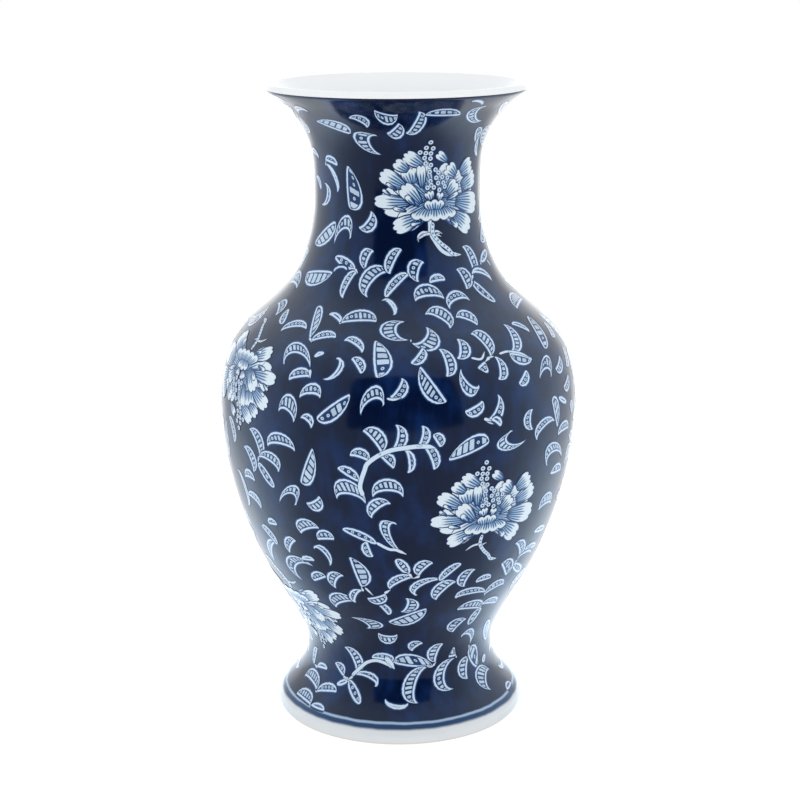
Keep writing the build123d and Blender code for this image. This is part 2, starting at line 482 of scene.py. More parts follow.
def lined_glaze():
    """The foot: white at the edge, a blue line and a white one over it, then the cobalt."""
    shader = Shader("lined_glaze")
    split = shader.add("ShaderNodeSeparateXYZ")
    shader.feed(split.inputs[0], shader.place())
    wobble = shader.sum("MULTIPLY", shader.sum("SUBTRACT", shader.noise(90, 2, 0.5), 0.5), 0.0009)
    height = shader.sum("ADD", split.outputs["Z"], wobble)
    blue = shader.sum("MULTIPLY", shader.ramp(height, *BLUE_IN), shader.ramp(height, *BLUE_OUT))
    ground = shader.ramp(height, *COBALT_IN)
    white = shader.blend(shader.noise(60, 2, 0.5), (0.70, 0.75, 0.79, 1), (0.78, 0.81, 0.83, 1))
    stain = shader.sum("MULTIPLY", shader.ramp(height, *STAIN_IN), 0.70)
    white = shader.blend(stain, white, (0.22, 0.40, 0.66, 1))
    colour = shader.blend(blue, white, (0.010, 0.045, 0.135, 1))
    colour = shader.blend(ground, colour, cobalt(shader))
    glaze_ripple(shader)
    return shader.finish(colour, ROUGH, GLOSS)


def biscuit(name, tint):
    """Unglazed fired clay: matt, with a fine grain and a few specks."""
    shader = Shader(name)
    grain = shader.noise(1500, 3, 0.6)
    speck = shader.ramp(shader.noise(700, 1, 0.5), 0.70, 0.76)
    colour = shader.blend(grain, tint, tuple(c * 0.88 for c in tint[:3]) + (1,))
    colour = shader.blend(shader.sum("MULTIPLY", speck, 0.35), colour, (0.42, 0.34, 0.26, 1))
    shader.bump(grain, 0.25, 0.0002)
    return shader.finish(colour, 0.75, 0.3)


# ---------------------------------------------------------------- the painting's places

# Leaves: (angle, height) of one tip, the same of the other, how far the outer edge bulges to the left
# of the line from the first to the second in mm, how far the inner edge does, and a lean of the bulge
# towards the second tip. A negative inner bulge makes a lance.
NECK_LEAVES = [
    (-49, 338.6, -28, 332.8, 6, -0.7, 0.9),
    (-25.5, 341.3, -17, 336.3, 7, 1.8, 0.1),
    (0.3, 344.5, -10.2, 347, 10, 2, -0.3),
    (-9, 322, -10.8, 332, 13.5, 5.5, 0.55),
    (0.5, 339.5, -6, 334, 8, 1, 0.15),
    (-34, 315.3, -33.5, 292.6, 7.7, -1.8, 1),
    (-60, 304.5, -64.5, 292.8, 8, 4.5, -0.2),
    (-56, 314.2, -45.5, 300.5, 5, 2.5),
    (-55.5, 316.5, -43.8, 314.5, 4.5, 0.5),
    (-61.5, 341.3, -50, 343, 6, 3),
    (-80, 338, -66, 345, 5, -1),
    (-80, 318, -65, 316.5, 5, 2),
    (-74, 306, -66, 300, 4, 1),
    (9.7, 345.8, 4.5, 334, 8.5, 2.2, 0.2),
    (13.8, 343.5, 33.5, 342.8, 5.5, -0.8, -0.1),
    (54.5, 338.3, 47.5, 346.5, 12, 6, 0.6),
    (54.8, 334.3, 60.5, 325.8, 4, -2),
    (34, 349.8, 42, 347.6, 3, 1.2),
    (68, 318.5, 62.5, 329, 4, 1),
    (61, 347.5, 72, 341, 2.5, -2.5),
]
SHOULDER_LEAVES = [
    (-45.5, 284.8, -66.5, 271.3, 6, -2),
    (-44.5, 272.5, -32.5, 276.2, 13.5, 6.8, 0.6),
    (-18.5, 292.5, -26.8, 283.8, 8, 2, 0.1),
    (-40.5, 258.8, -63.8, 256, 7.5, -1.5, 0.5),
    (-41.5, 267, -25.5, 262, 3, -2),
    (-39.8, 259, -31, 260.5, 3.2, 2.6),
    (-28.3, 247.3, -23.5, 260, 6.5, 2, 0.3),
    (-18, 261.5, -14.5, 271, 7.3, 1.8, 0.35),
    (-14.8, 248.3, -3.5, 260, 13, 5.3),
    (-4, 260, 3, 272.2, 6.5, 1, 0.1),
    (-5.5, 248.3, 6.5, 259.3, 6, 1, 0.2),
    (-8, 247.5, -2.5, 240.8, 5, 2.5),
    (-41.3, 242.3, -35.3, 229, 5, -0.5, -1),
    (-32.5, 239.5, -25.5, 236.5, 4, 1),
    (-24.5, 236.3, -9.3, 237.7, 9, 1.5),
    (4.8, 230.5, 3.8, 238, 15, 6.3, 0.2),
    (-51.2, 228.8, -39.3, 231.8, 8, 3.2, -0.1),
    (-54, 232, -58.5, 238.5, 3.5, -1.5),
    (-33.5, 227.3, -24.3, 230, 6.5, 1.5),
    (-20.7, 229, -13, 224.3, 6.5, 2.2, -0.2),
    (-40.5, 215.3, -29.8, 215.3, 14.5, 8, -0.6),
    (-8.5, 230.2, -6.8, 213.7, 8.5, -1.2, 0.4),
    (12.3, 255.8, 16.5, 265.3, 8.8, 2, 0.2),
    (18, 255, 27.3, 255.7, 4.8, 0.6),
    (9, 246.5, 24, 246.8, 10.3, 3, -0.2),
    (12, 240.5, 21, 234, 11.3, 3.6),
    (25.3, 242, 38, 244.5, 9.8, 4.3),
    (26, 238.3, 34, 234, 8.5, 2),
    (11, 236, 4.8, 229.5, 12.5, 4, 0.1),
    (29, 230.8, 32.5, 220.3, 10, 2.5, -0.3),
    (22.3, 229.8, 20, 221.5, 8, 1.8),
    (14.3, 226, 15, 213.8, 7.8, 1.8, 0.15),
    (8.5, 227, 4, 220.8, 5.5, 0.5),
    (47, 232.8, 41.8, 221.3, 9.5, 3.3),
    (52, 231.5, 58.5, 226.5, 4.5, 1),
    (67.5, 232.5, 61, 217.5, 6, -2.5),
    (44.5, 271.3, 47.5, 256.5, 9, 2.6),
    (47, 256.3, 62.5, 250.8, 6.5, 3.2),
    (45, 254, 53.8, 242.3, 2.8, -2.6),
    (36, 260.5, 38.5, 250.5, 8.5, 1.5),
    (58.5, 260.5, 70, 257.5, 5, 3.8),
    (60, 262, 74, 266, 2.5, -2),
]
BELLY_LEAVES = [
    (-36.8, 208.6, -29, 211.5, 6.5, 1.2),
    (-31.8, 200.5, -24.7, 201.8, 8.5, 2.7, 0.3),
    (-39.3, 191.7, -33.5, 187.3, 12.7, 4.2, -0.25),
    (-44, 171.3, -33, 171.8, 9.8, 3.4, -0.1),
    (-53.2, 178, -49, 164.5, 9.3, 2.7),
    (-49.3, 163.3, -40.7, 158.5, 9.3, 3.4, 0.4),
    (-49.7, 161, -43.2, 149, 2.8, -2.8),
    (-57.5, 166.5, -53.5, 154, 8.5, 2.5),
    (-59.5, 148, -53.5, 148, 6.5, 1.5),
    (-66, 150, -64, 130, 7, 4),
    (-61, 136.5, -53.7, 132, 7.5, 2.8, 0.2),
    (-42.3, 139.8, -35.6, 140.8, 12.5, 7.3, 0.9),
    (-25.8, 149.7, -30.7, 144.7, 7.8, 1.4),
    (-29.5, 221, -26.5, 223, 2.5, 0),
    (-21.8, 221.8, -25, 211.8, 7.5, 4.5, -0.4),
    (-16.2, 221.8, -12.3, 215.3, 5.5, 0.5),
    (-11.2, 194.5, -4.6, 199.8, 12, 5.6, 0.6),
    (0.8, 214, -2.8, 205.3, 7, 1.6),
    (-14.8, 205.2, -25.3, 191.8, 6.2, -1.5, 0.6),
    (-31, 190.5, -27.3, 186, 6, 2),
    (-26.6, 175.7, -31.8, 155.7, 6.6, -0.8, 0.9),
    (-10.8, 187, -5.5, 176, 8.4, 1.3),
    (-1.3, 191, -2.8, 178, 8.5, 2.8),
    (6.6, 190.2, 5.3, 180, 6.3, 1.6),
    (10, 184.8, 12.3, 178.3, 5, 0),
    (-14.7, 173.3, -9, 170.5, 6.5, 1.2),
    (-5.7, 174.8, -1.5, 167.5, 5, -0.3),
    (1.5, 177.3, 2.3, 165.2, 5.5, 1.8),
    (7, 179.3, 10.2, 166.2, 6.5, 1.3),
    (-18.7, 166.7, -12, 160, 4.2, -1),
    (-19.3, 148.3, -10.3, 146.5, 13, 4.8, -0.4),
    (-7.9, 150.5, 1.2, 150.8, 11.5, 4.5),
    (-8.3, 138.7, -2.3, 147.3, 8.5, 2.4),
    (14.8, 201.5, 7.3, 219, 7.6, -0.3, -0.3),
    (26, 208.5, 21, 217, 9, 3.4, -0.6),
    (26.3, 200.5, 20.3, 196.3, 6, 0.5),
    (31.7, 202.8, 26.5, 191, 8.8, 3.5, 0.2),
    (29, 189.5, 32, 185.5, 4, 0.5),
    (15, 171.3, 28.2, 178.3, 7.2, -1.5, 0.8),
    (42.8, 176, 37, 182.5, 12.5, 7, 0.9),
    (45.8, 180.3, 46, 190.8, 8, 2.6),
    (47.8, 173.3, 57.2, 179.8, 8.5, 3.5, -0.4),
    (56, 193, 59.3, 176.3, 5.5, -1, -0.8),
    (60.5, 192, 66.5, 187, 1.5, -1.5),
    (60, 171, 69, 171, 6.5, 1),
    (50.8, 204.3, 57.3, 203.5, 12.5, 5.4, 0.8),
    (68.5, 212, 62, 207.3, 6.5, 1),
    (54.8, 155.8, 65.5, 155.5, 13, 7, -0.7),
    (30.2, 218.5, 26.8, 216, 5, -0.5),
    (34.3, 220.3, 33, 210, 7.3, 2, 0.3),
    (50.5, 215.3, 41.3, 220.3, 5, -1.2, 0.3),
    (45.5, 211.3, 41, 205.8, 5, 0),
]
LOWER_LEAVES = [
    (-34.8, 124.2, -27, 129.3, 8.7, 1.9, -0.35),
    (-28.5, 122.5, -22.2, 124, 6.5, 0.5),
    (-31.3, 116.3, -26.4, 106.3, 7.5, 4, -0.4),
    (-25.3, 91.8, -20.8, 101, 8.5, 2.6, 0.1),
    (-28.7, 77.3, -18.3, 83.5, 10.8, 3, -0.1),
    (-18.2, 83.5, -14.3, 92.5, 6, 2),
    (-43.3, 109.3, -38.3, 118.3, 6.8, 1.6, 0.1),
    (-41.8, 92.3, -33, 103.8, 15, 8, -0.35),
    (-38, 107.3, -32.2, 108.3, 3, 0),
    (-35.5, 94.2, -29, 98.7, 5.5, 0),
    (-57, 120.3, -50.3, 111.8, 5.5, 0),
    (-51, 124.5, -46.2, 125.5, 4, 0),
    (-57.5, 98.3, -50, 112, 8, 3.5),
    (-18.8, 131.5, -7.5, 123.8, 3.6, -1.3),
    (2.4, 117.3, -0.5, 135.6, 9.5, 5, 1.2),
    (-8.8, 115.8, -10.5, 124.8, 5, 0.3),
    (-17.5, 114.5, -14.8, 95.3, 7.8, -0.6, 0.4),
    (-5.8, 91.8, -13.2, 88.2, 7, 1),
    (-1, 114.7, 3.5, 105, 3, -2.5),
    (7.5, 103, 12.2, 110.8, 7.5, 1.2),
    (-3.4, 94.5, 5, 101.8, 6.8, 1.6),
    (7.3, 90, 17.2, 98.8, 9.5, 5, -0.5),
    (15.8, 98.6, 23, 108.2, 5, 0),
    (15.6, 85.8, 22.4, 96.6, 8.8, 1.8),
    (2, 88.5, 0, 79, 9.5, 2.6),
    (-9, 84, -5, 76.3, 4, 0),
    (11.8, 80.3, -5.2, 71, 8, -1),
    (-24, 72, -17.3, 65.3, 10.5, 3.5, 1.1),
    (-1.3, 62.3, -10.8, 63, 9, 2.3),
    (24.2, 85, 39, 84.3, 7, 2, -0.5),
    (39.5, 82.5, 49.8, 85.5, 8, 2),
    (27, 92.5, 29.8, 103, 8.5, 2),
    (31.5, 93.8, 38.6, 94.3, 4.5, 0.2),
    (46, 112.8, 52, 100.5, 8, 2.5),
    (42, 102.3, 48, 92.5, 7.5, 0),
    (51.8, 101, 62.5, 100, 4, 2.8),
    (50.5, 98.5, 61, 90, 2.5, -2.5),
    (55, 106, 65, 104, 3, -1),
    (55.5, 129, 64.8, 129, 10, 2.6, -0.2),
    (58, 150, 67, 148.5, 5, -0.5),
    (57.5, 115.8, 68, 113, 3, -1),
    (26.7, 76, 40.5, 72.8, 7.8, 0.8, 0.2),
    (29.8, 59.3, 35.3, 67.3, 8.8, 1, -0.1),
    (38.5, 62, 41, 73.5, 3, -3),
    (36.8, 53.5, 46.4, 45.8, 8, 3.9, -0.6),
    (41, 75.5, 52.5, 72, 5.5, 0.5),
    (56, 59, 69, 42, 3, -3),
]
FOOT_LEAVES = [
    (-34.8, 47.8, -28, 33, 8, 1.8),
    (-17, 43.8, -4, 42.5, 5, 0.5, 0.3),
    (-29.5, 31, -14.8, 27.2, 7, 3.5, 0.5),
    (-32, 29, -21.8, 18.3, 2.8, -2.4),
    (-43.5, 36, -36, 30, 4.5, -0.5),
    (-51.3, 17.8, -38, 20.8, 6, 0.8),
    (-39.5, 24.8, -32.5, 28.5, 1.5, -1.5),
    (-69.6, 20, -53, 18.2, 9, 2.3),
    (-65.3, 12.3, -51, 11.8, 7, 0.6),
    (-50, 12, -40.3, 12, 3, -0.5),
    (-60, 28.5, -50, 30, 3.5, 0.3),
    (-64, 29, -62, 38.5, 6, 1.5),
    (4.5, 20.5, -8, 22.3, 5, 2.5),
    (-3.5, 41.8, 20.5, 38.3, 7, -1, -0.7),
    (7.5, 49, 13.2, 54, 6.5, 1.2),
    (10.8, 19.8, 17.5, 37.8, 11.5, 4.5, -0.25),
    (22.5, 40.5, 25.8, 52, 7.5, 1),
    (32.8, 24, 37, 40.3, 13, 6.3, -0.3),
    (30.8, 42, 36.3, 41.8, 6, -0.3),
    (44.3, 26.3, 48, 38, 8, 1),
    (47, 43.5, 56, 30.3, 5.5, -3, -0.6),
    (58.3, 16.3, 67, 24.2, 14, 4.3, -0.1),
    (61.5, 30.5, 67, 33.5, 1.5, -1.5),
]

ALL_LEAVES = NECK_LEAVES + SHOULDER_LEAVES + BELLY_LEAVES + LOWER_LEAVES + FOOT_LEAVES

# Stems and tendrils: the line's width in mm, then the places it passes
STEMS = [
    (2.3, (-11, 152), (-11.8, 156), (-11.5, 160), (-10.3, 166), (-9.3, 170), (-6, 174.5), (-2.5, 177.3),
     (1, 178.5), (5.5, 179.3), (9, 179), (11, 178)),
    (1.2, (-3.5, 204), (-1.5, 203.5), (1, 204.3)),
    (1.2, (25.5, 221), (29, 220), (31.5, 223)),
    (1.2, (37, 221), (41, 221.3), (46, 219.5), (49.5, 216.5)),
    (1.7, (-7.5, 124.5), (-5, 122), (-3, 120.5), (-1, 120.2), (2.5, 117.5)),
    (1.2, (-13.3, 95), (-10.5, 90)),
    (3.0, (-8.3, 45), (-6, 42), (-3.2, 38)),
    (1.9, (-30, 31.5), (-25, 36.5), (-20, 40.8), (-14, 42.6), (-8, 41), (-5, 38.5)),
    (2.0, (22, 288), (21.8, 284), (22, 280), (24.5, 276), (28, 271.5), (32, 269), (36.5, 267.5)),
    (1.2, (22, 280), (17, 281), (13.5, 279), (13.5, 276)),
    (1.2, (24, 281), (27, 281), (30.5, 279.5)),
    (1.2, (25.5, 278.5), (27.5, 279), (29.5, 278)),
]

# Peonies: the cup's place, and how far the flower is turned
PEONIES = [(25, 297, 0), (29.5, 136, 0), (-61.5, 208, 180), (-56, 72, 180)]

# A peony's petals from back to front, in mm from the cup's centre: base, tip, width, lobes at the tip
PETALS = [
    (-3, -1, -28.5, 1, 15, 5),
    (-2, 1, -21, 17.5, 16, 5),
    (-3, -2, -18.5, -12.5, 11, 4),
    (3, 2, 28, 8, 18, 5),
    (3, -2, 24.5, -10.5, 15, 5),
    (3, 6, 11, 18.5, 11, 3),
    (-2, 6, -9, 22.5, 9, 3),
    (-12.3, 0, -32.3, 0.5, 7, 2),
    (-15.5, 8, -28.7, 15.5, 8, 3),
    (-7.4, -8, -22, -14, 8, 3),
    (-14.8, -4.8, -21.8, -3.1, 2.5, 1),
    (-19.7, 6.2, -25.4, 10.1, 2.2, 1),
    (-6.6, -10.8, -12.8, -12, 2.4, 1),
    (-23, 3.5, -27.5, 6.7, 2.2, 1),
    (-11.8, 9.3, -14, 18.3, 8.5, 3),
    (-5.7, 18.5, -16.4, 25.7, 7, 3),
    (-13.9, 16.5, -21.3, 21.6, 6, 2),
    (-6.6, 7.2, -7.4, 19.6, 5, 2),
    (-7.4, -1.5, -17.5, 8.8, 8, 3),
    (-10.3, -1.8, -15.3, 3.3, 3.2, 1),
    (13.9, 12.4, 7.4, 18, 8, 3),
    (8.2, 3.1, 15.3, 9.3, 7, 2),
    (7.9, 0, 16, 3.1, 2.8, 1),
    (18.9, 3.3, 25, 6.2, 2.6, 1),
    (18, 6.2, 31.7, 10.8, 9, 3),
    (17.2, 13.4, 27, 18.5, 9, 3),
    (13.9, -1, 34, -4.6, 11, 3),
    (12.3, -7.7, 24.6, -17, 10, 3),
    (9.8, -10.3, 14.8, -14.9, 3.5, 1),
    (7.4, 20.6, 0.8, 25.7, 5, 2),
    (0.8, -3.6, 0.8, -10.8, 24, 5),
    (0.5, -4.8, 0.5, 1.0, 11, 3),
    (3.3, 0.3, 4.1, 4.6, 4.5, 2),
    (-1.6, 0.8, -3.1, 5.5, 5.5, 3),
]
STAMENS = [
    (-3.3, 31.9), (-5.2, 28.8), (-1.6, 28.3), (-8.2, 26.3), (-5.2, 25.8), (-2.5, 25.5),
    (-5.7, 23.2), (-2.5, 22.7), (-4.9, 20.1), (-2, 19.1), (0.8, 16.5), (-2.5, 15.5),
    (2.5, 14.9), (-2, 10.6), (1.3, 12.2), (4.9, 12.4), (8.2, 11.8), (-1.6, 8.5),
    (2.5, 9.3), (5.7, 9.3), (-3.6, 7.2), (0, 7.2), (3.3, 5.7), (6.6, 7.2),
]
# A peony's own stem and curls: width, then places in mm from the cup's centre
PEONY_STEMS = [
    (2.0, (-0.8, -11.3), (-1.1, -17), (2.5, -22.1), (6.6, -25.8), (9, -28.8), (13.9, -29.9)),
    (1.2, (-1.1, -17), (-5.7, -17.5), (-9.8, -20)),
    (1.2, (0, -18), (3.3, -17)),
]

# ---------------------------------------------------------------- painting shapes

chances = random.Random(17)
LEAF_CUTS = 40  # steps that a leaf's length is measured in
BAR_PITCH, LONG_BAR_PITCH = 2.55, 3.7  # spacing of the bars in crescents and in long lances, in mm
SEED_RADIUS = 1.5
# How far each kind of film stands off the cobalt, and the step between neighbours that overlap, in mm
LEAF_LIFT, LEAF_STEP, LEAF_LEVELS = 0.03, 0.004, 12
PETAL_LIFT, PETAL_STEP = 0.10, 0.004
SEED_LIFT, SEED_STEP = 0.22, 0.002
PEONY_STEM_LIFT = 0.09
TENDRIL_LIFT = 0.085
JOINT_MIN, JOINT_MAX, JOINT_WIDTH = 0.8, 4.6, 1.8  # the stems that join leaves, in mm
PETAL_SPREAD = 1.15  # petals are this much wider than their table says, so that they overlap
SIDE_SPAN = 24  # how far from the sides these leaves may stand, in degrees
SIDE_STEPS = (0, -15, 15, -8, 8, -30, 30, -22, 22, -45, 45)  # turns that are tried in this order
CLEARANCE = 5.0  # between the middles of two leaves, in mm


def bezier(points, part):
    """A point on a cubic curve."""
    a, b, c, d = points
    rest = 1 - part
    return a * rest**3 + b * (3 * rest**2 * part) + c * (3 * rest * part**2) + d * part**3


def side_curve(first, second, bulge, flare, lean):
    """The control points of one edge of a leaf."""
    along = (second - first).normalized()
    left = Vector((-along.y, along.x))
    reach = left * (bulge * 4 / 3)
    return (
        first,
        first + reach + along * ((lean - flare) * bulge),
        second + reach + along * ((lean + flare) * bulge),
        second,
    )


class Film:
    """A mesh of painted shapes with numbers stored at its points."""

    NUMBERS = ("rim", "along", "across", "width", "chance", "pitch")

    def __init__(self):
        self.bm = bmesh.new()
        self.layers = {name: self.bm.verts.layers.float.new(name) for name in self.NUMBERS}

    def grid(self, rows, columns, spot, lift, place):
        """A grid laid on the wall; place gives (point on the sheet, numbers) from two parts 0 to 1."""
        made = bmesh.ops.create_grid(self.bm, x_segments=rows, y_segments=columns, size=0.5)
        for vert in made["verts"]:
            at, numbers = place(vert.co.x + 0.5, vert.co.y + 0.5)
            vert.co = spot.point(at.x, at.y, lift)
            for name, value in numbers.items():
                vert[self.layers[name]] = value
        self.face_out(made["verts"])

    def face_out(self, verts):
        """Turns the faces of these points away from the axis."""
        faces = {face for vert in verts for face in vert.link_faces}
        middle = sum((vert.co for vert in verts), Vector()) / len(verts)
        middle.z = 0
        facing = Vector()
        for face in faces:
            face.normal_update()
            facing += face.normal * face.calc_area()
        if facing.dot(middle) < 0:
            bmesh.ops.reverse_faces(self.bm, faces=list(faces))


def lean_of(row):
    """How far a leaf's bulge leans towards its second tip."""
    return row[6] if len(row) > 6 else 0.0


def leaf_curves(row, turn):
    """A leaf's spot, and its outer edge, inner edge and middle from a row of the tables."""
    angle_a, height_a, angle_b, height_b, outer, inner = row[:6]
    lean = lean_of(row)
    spot = Spot((angle_a + angle_b) / 2 + turn, (height_a + height_b) / 2)
    first, second = spot.sheet(angle_a + turn, height_a), spot.sheet(angle_b + turn, height_b)
    flare = 0.35 if outer > 11 else 0.25
    if inner < 0:
        flare = -0.5
    outside = side_curve(first, second, outer, flare, lean)
    inside = side_curve(first, second, inner, 0.1, lean)
    return spot, outside, inside, [(a + b) / 2 for a, b in zip(outside, inside)]


def leaf_places(row, turn):
    """Points on the wall along a leaf."""
    spot, _, _, middle = leaf_curves(row, turn)
    return [spot.point(*bezier(middle, i / 4), 0) for i in range(5)]


def painted_places():
    """Points on the wall that the front's and the far side's painting already takes."""
    taken = []
    for turn in (0, 180):
        for row in ALL_LEAVES:
            taken += leaf_places(row, turn)
        for _, *places in STEMS:
            taken += [Spot(angle + turn, height).point(0, 0, 0) for angle, height in places]
        for angle, height, turned_by in PEONIES:
            spot = Spot(angle + turn, height)
            tips = [*(row[2:4] for row in PETALS), *PEONY_STEMS[0][1:]]
            taken += [spot.point(*rotate(Vector(tip), math.radians(turned_by)), 0) for tip in tips]
    return taken


def side_leaves(leaves, taken):
    """(row, turn) of leaves that fit in what the front and the far side leave bare."""
    tree = KDTree(len(taken))
    for i, place in enumerate(taken):
        tree.insert(place, i)
    tree.balance()
    kept, fresh = [], []
    for side in (90, 270):
        waiting = list(leaves)
        for step in SIDE_STEPS:
            for row in [row for row in waiting if abs((row[0] + row[2]) / 2 + step) < SIDE_SPAN]:
                places = leaf_places(row, side + step)
                nearest = min(tree.find(place)[2] for place in places)
                nearest = min([nearest, *((a - b).length for a in places for b in fresh)])
                if nearest > CLEARANCE * MM:
                    kept.append((row, side + step))
                    waiting.remove(row)
                    fresh += places
    taken += fresh
    return kept


def add_leaf(film, row, turn, lift):
    """A leaf between its two edges, with the numbers its paint needs."""
    spot, outside, inside, middle = leaf_curves(row, turn)
    inner = row[5]
    lean = lean_of(row)
    blunt = min(3.4, 5.5 * abs(lean)) if inner > 0 else 0.0
    cuts = [k / LEAF_CUTS for k in range(LEAF_CUTS + 1)]
    lengths = [0.0]
    for low, high in zip(cuts, cuts[1:]):
        lengths.append(lengths[-1] + (bezier(middle, high) - bezier(middle, low)).length)
    chance = chances.random()
    pitch = LONG_BAR_PITCH if inner < -0.4 and lengths[-1] > 13 else BAR_PITCH

    def place(part, side):
        near, far = bezier(inside, part), bezier(outside, part)
        ahead = (bezier(middle, min(part + 0.01, 1)) - bezier(middle, max(part - 0.01, 0))).normalized()
        left = Vector((-ahead.y, ahead.x))
        rib = far - near
        if rib.length < 1.5:
            rib = rib.lerp(left * max(rib.length, 0.01), 1 - rib.length / 1.5)
        rule = rib.normalized()
        end = min(1, 9 * min(part, 1 - part))
        closing = math.sqrt(end * (2 - end))
        head = 1 - part if lean < 0 else part
        stub = max(0.9 * end, blunt * closing * max(0.0, 2 * head - 1))
        width = max(rib.length * closing, stub) + 2 * MARGIN * closing
        at = (near + far) / 2 + rule * ((side - 0.5) * width)
        i, rest = between(cuts, part)
        along = lengths[i] + (lengths[i + 1] - lengths[i]) * rest
        numbers = {"along": along, "across": side * width, "width": width, "chance": chance, "pitch": pitch}
        return at, numbers

    film.grid(max(12, round(lengths[-1] / 0.7)), 8, spot, lift, place)


def add_petal(film, spot, turned_by, row, lift):
    """A petal that widens from its base to a scalloped tip."""
    base_x, base_y, tip_x, tip_y, width, lobes = row
    width *= PETAL_SPREAD
    spin = math.radians(turned_by)
    base, tip = Vector((base_x, base_y)), Vector((tip_x, tip_y))
    reach = tip - base
    length = reach.length
    ahead = reach.normalized()
    left = Vector((-ahead.y, ahead.x))
    wide = width > 1.6 * length
    root = 0.62 if wide else 0.42
    round_off = 0.45 if wide else 0.30
    chance = chances.random()

    def place(part, side):
        b = 2 * side - 1
        half = width / 2 * (root + (1 - root) * math.sin(math.pi / 2 * min(1, part / 0.8)))
        lobe = abs(math.sin(math.pi * lobes * side)) ** 0.7 if lobes > 1 else 1.0
        top = length * (1 - round_off * (1 - math.sqrt(max(0, 1 - b * b * 0.96))))
        top += (lobe - 0.75) * min(1.3, width / lobes * 0.5)
        at = base + ahead * (part * top) + left * (b * half)
        rim = min((1 - abs(b)) * half, (1 - part) * top, part * top + 0.35)
        numbers = {
            "rim": rim,
            "along": 1 - (1 - part) * top / max(length, 6),
            "across": b * width / 2,
            "chance": chance,
        }
        return rotate(at, spin), numbers

    film.grid(10, max(8, 5 * lobes), spot, lift, place)


def rotate(at, spin):
    """A sheet point turned about the sheet's middle."""
    cos, sin = math.cos(spin), math.sin(spin)
    return Vector((at.x * cos - at.y * sin, at.x * sin + at.y * cos))


def add_seed(film, spot, at, lift):
    """A stamen: a small disc."""

    def place(part, side):
        angle = 2 * math.pi * side
        radius = SEED_RADIUS * part
        point = at + Vector((math.cos(angle), math.sin(angle))) * radius
        return point, {"rim": SEED_RADIUS - radius}

    film.grid(4, 14, spot, lift, place)


def smooth_line(points, cell):
    """Points evenly spaced along a smooth line through these."""
    ends = [points[0] * 2 - points[1], *points, points[-1] * 2 - points[-2]]
    dense = []
    for a, b, c, d in zip(ends, ends[1:], ends[2:], ends[3:]):
        for i in range(24):
            t = i / 24
            at = b * 2 + (c - a) * t + (a * 2 - b * 5 + c * 4 - d) * t**2 + (b * 3 - a - c * 3 + d) * t**3
            dense.append(at / 2)
    dense.append(points[-1])
    runs = [0.0]
    for a, b in zip(dense, dense[1:]):
        runs.append(runs[-1] + (b - a).length)
    count = max(3, round(runs[-1] / cell))
    line = []
    for k in range(count + 1):
        i, rest = between(runs, runs[-1] * k / count)
        line.append(dense[i].lerp(dense[i + 1], rest))
    return line, runs[-1]


def add_stem(film, spot, width, points, lift):
    """A line of paint that tapers at its far end."""
    line, length = smooth_line(points, 0.8)
    count = len(line) - 1

    def place(part, side):
        k = round(part * count)
        ahead = (line[min(k + 1, count)] - line[max(k - 1, 0)]).normalized()
        left = Vector((-ahead.y, ahead.x))
        end = min(1, (0.6 + length * (1 - part)) / 4, (0.6 + length * part) / 1.5)
        half = width / 2 * end + 0.25
        rim = half * (1 - abs(2 * side - 1))
        return line[k] + left * ((side - 0.5) * 2 * half), {"rim": rim, "along": length * part}

    film.grid(count, 4, spot, lift, place)


def leaf_film(name, leaves, taken, material):
    """A section's leaves on the front and the far side, and those that fit at the sides."""
    film = Film()
    rows = [(row, turn) for turn in (0, 180) for row in leaves]
    for i, (row, turn) in enumerate(rows + side_leaves(leaves, taken)):
        add_leaf(film, row, turn, LEAF_LIFT + LEAF_STEP * (i % LEAF_LEVELS))
    return piece(film.bm, name, [material])


def peony_films(name, places, materials):
    """The peonies of a section: petals, stamens and stems as three films."""
    petals, seeds, stems = Film(), Film(), Film()
    for turn in (0, 180):
        for angle, height, turned_by in places:
            spot = Spot(angle + turn, height)
            spin = math.radians(turned_by)
            for i, row in enumerate(PETALS):
                add_petal(petals, spot, turned_by, row, PETAL_LIFT + PETAL_STEP * i)
            for i, (x, y) in enumerate(STAMENS):
                add_seed(seeds, spot, rotate(Vector((x, y)), spin), SEED_LIFT + SEED_STEP * i)
            for width, *points in PEONY_STEMS:
                line = [rotate(Vector(p), spin) for p in points]
                add_stem(stems, spot, width, line, PEONY_STEM_LIFT)
    petal, seed, stem = materials
    piece(petals.bm, f"{name}_peony_petals", [petal])
    piece(seeds.bm, f"{name}_peony_stamens", [seed])
    piece(stems.bm, f"{name}_peony_stems", [stem])


def joints(leaves):
    """Short stems between the tips of leaves that nearly meet."""
    tips = [(i, place) for i, row in enumerate(leaves) for place in (row[:2], row[2:4])]
    rows = []
    for i, place in tips:
        spot = Spot(*place)
        for j, other in tips:
            gap = spot.sheet(*other).length
            if i < j and JOINT_MIN < gap < JOINT_MAX:
                rows.append((JOINT_WIDTH, place, other))
    return rows


def tendril_film(name, stems, material):
    """The stems, tendrils and joins that belong to no peony, on the front and the far side."""
    film = Film()
    for turn in (0, 180):
        for width, *places in stems:
            spot = Spot(places[0][0] + turn, places[0][1])
            line = [spot.sheet(angle + turn, height) for angle, height in places]
            add_stem(film, spot, width, line, TENDRIL_LIFT)
    return piece(film.bm, name, [material])


# ---------------------------------------------------------------- building the vase


END_GAP = 0.3  # rows nearer than this to a piece's ends are left out, in mm


def ground_profile(low, high):
    """(radius, height) up the outside between two heights."""
    ends = [wall_at(run_of(height))[:2] for height in (low, high)]
    rows = [row[:2] for row in skin(GROUND_CELL) if low + END_GAP < row[1] < high - END_GAP]
    return [tuple(ends[0]), *rows, tuple(ends[1])]


